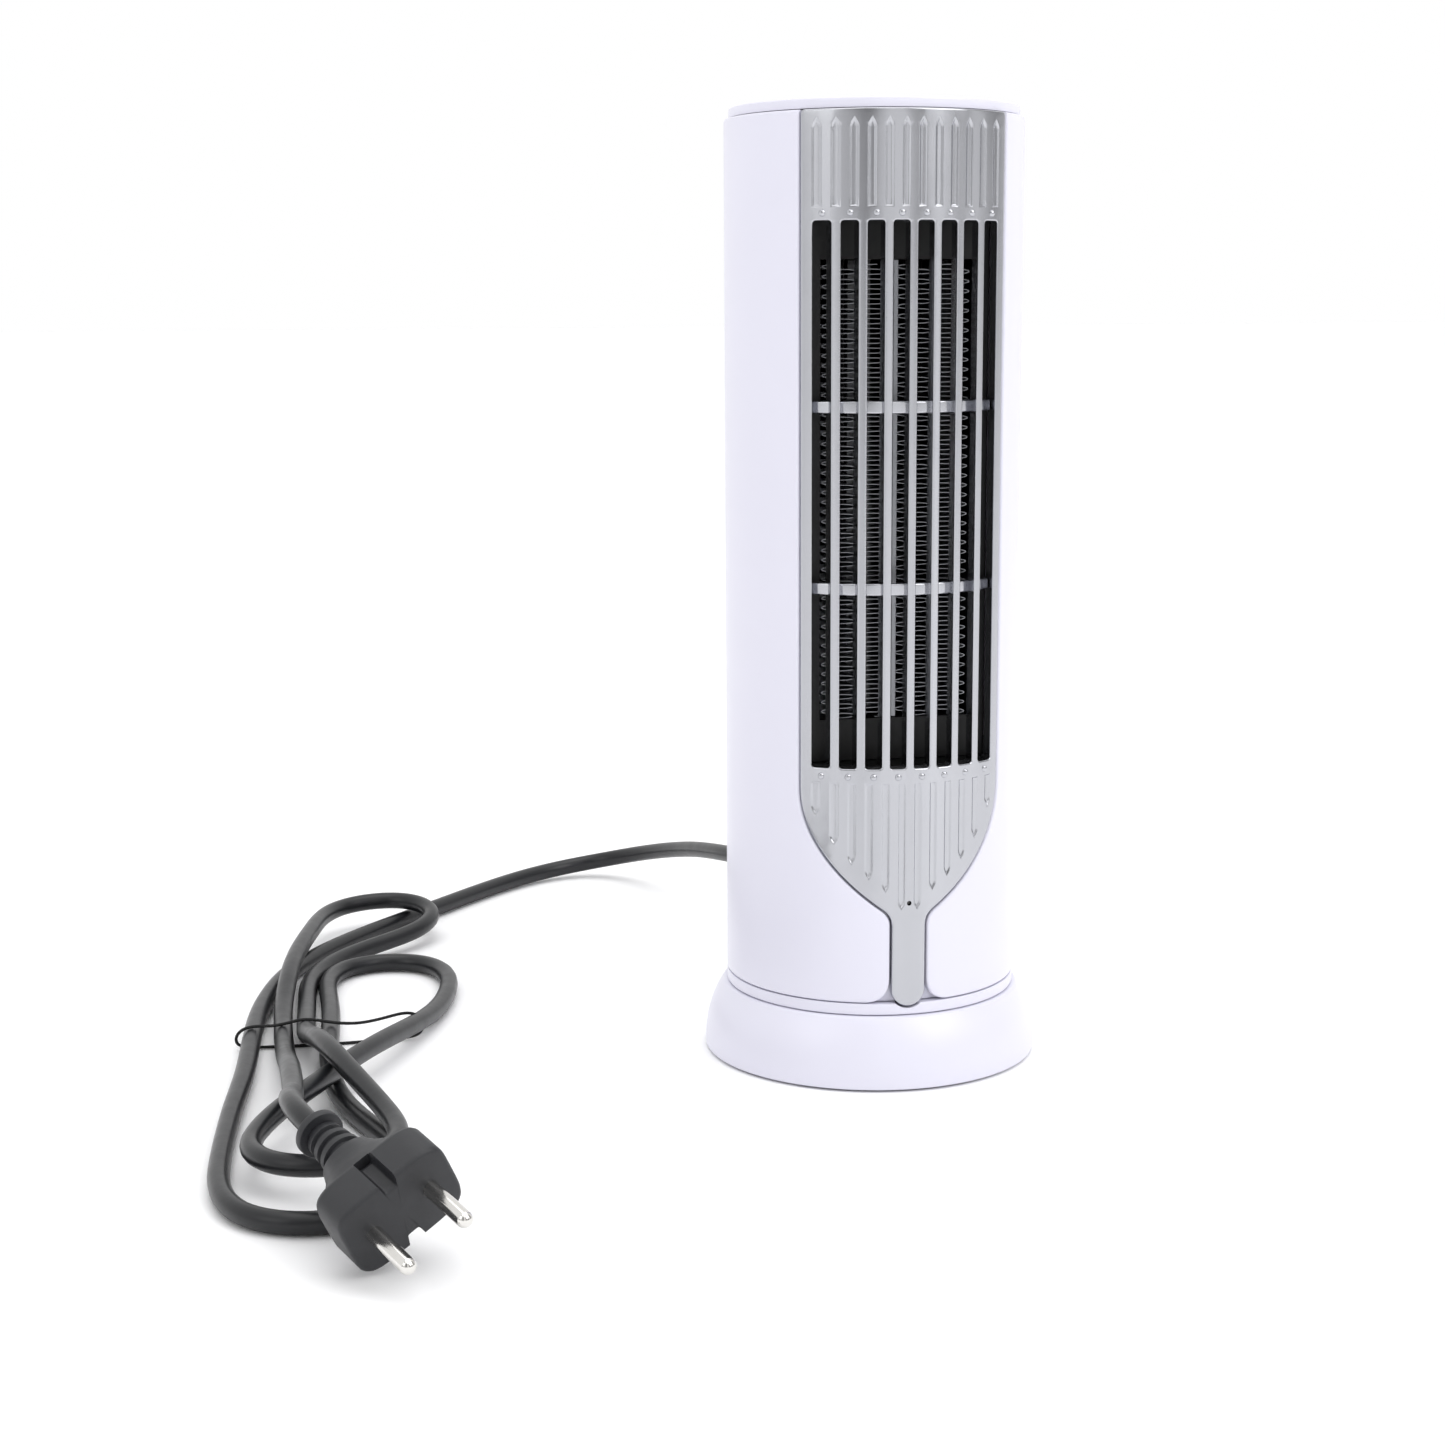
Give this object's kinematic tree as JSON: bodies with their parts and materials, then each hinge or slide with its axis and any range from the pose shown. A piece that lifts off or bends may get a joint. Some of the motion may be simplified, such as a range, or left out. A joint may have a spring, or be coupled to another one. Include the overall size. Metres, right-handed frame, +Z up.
{
  "type": "tower fan heater",
  "caption": "Slim round tower fan heater on a flared base, with a slotted chrome front panel, a rear switch and a tied mains lead with a two-pin plug.",
  "frame": {"origin": "centre of the base at the level of the surface it stands on", "axes": "+Z up along the tower, -Y out of the chrome front panel, +Y out of the back"},
  "size_m": [0.2864, 0.4675, 0.3205],
  "materials": {
    "white_housing": "moulded white ABS, semi-gloss",
    "chrome_panel": "vacuum-metallised plastic, bright",
    "black_moulding": "black heat-resistant nylon",
    "grey_moulding": "grey moulded plastic",
    "rubber": "matt black rubber",
    "cord_pvc": "satin black PVC",
    "fin_aluminium": "folded aluminium sheet",
    "steel": "zinc-plated steel",
    "nickel_pin": "nickel-plated brass",
    "lamp_lens": "smoked translucent plastic"
  },
  "bodies": {
    "housing": {"air_guide": "black_moulding", "air_tongue": "black_moulding", "base_plate": "black_moulding", "base_screw_1": "steel", "base_screw_2": "steel", "base_screw_3": "steel", "base_screw_4": "steel", "base_shell": "white_housing", "collar": "white_housing", "cord_gland": "cord_pvc", "cord_hank": "cord_pvc", "cord_run": "cord_pvc", "cord_tail": "cord_pvc", "cord_tie": "rubber", "deck_leg_1": "black_moulding", "deck_leg_2": "black_moulding", "deck_leg_3": "black_moulding", "fin_strip_1": "fin_aluminium", "fin_strip_2": "fin_aluminium", "fin_strip_3": "fin_aluminium", "fin_strip_4": "fin_aluminium", "foot_1": "rubber", "foot_2": "rubber", "foot_3": "rubber", "foot_4": "rubber", "front_grille": "chrome_panel", "front_shell": "white_housing", "heater_frame": "black_moulding", "heater_lead": "cord_pvc", "heater_tube_1": "fin_aluminium", "heater_tube_2": "fin_aluminium", "heater_tube_3": "fin_aluminium", "indicator_board": "grey_moulding", "indicator_lens": "lamp_lens", "inner_lead": "cord_pvc", "lower_deck": "black_moulding", "motor_body": "steel", "motor_cup": "grey_moulding", "motor_screw_1": "steel", "motor_screw_2": "steel", "motor_screw_3": "steel", "plug_body": "cord_pvc", "plug_pin_1": "nickel_pin", "plug_pin_2": "nickel_pin", "rear_cover": "white_housing", "rear_screw_1": "steel", "rear_screw_2": "steel", "rear_screw_3": "steel", "rear_screw_4": "steel", "switch_body": "black_moulding", "thermal_cutout": "steel", "tip_switch_body": "black_moulding", "top_bush": "fin_aluminium", "top_cap": "white_housing", "upper_deck": "black_moulding"},
    "fan": {"fan_wheel": "black_moulding", "motor_shaft": "steel"},
    "switch_rocker": {"switch_rocker": "black_moulding"},
    "tip_plunger": {"tip_plunger": "grey_moulding"}
  },
  "joints": [
    {"name": "fan_spin", "type": "hinge", "parent": "housing", "child": "fan", "pos_m": [0, 0.009, 0.19], "axis": [0, 0, 1], "continuous": true},
    {"name": "switch_press", "type": "hinge", "parent": "housing", "child": "switch_rocker", "pos_m": [0, 0.0509, 0.078], "axis": [1, 0, 0], "range_deg": [0, 20]},
    {"name": "tip_plunger_slide", "type": "slide", "parent": "housing", "child": "tip_plunger", "axis": [0, 0, 1], "range_m": [-0.004, 0.0005], "stiffness_N_per_m": 60, "springref_m": -0.004}
  ]
}
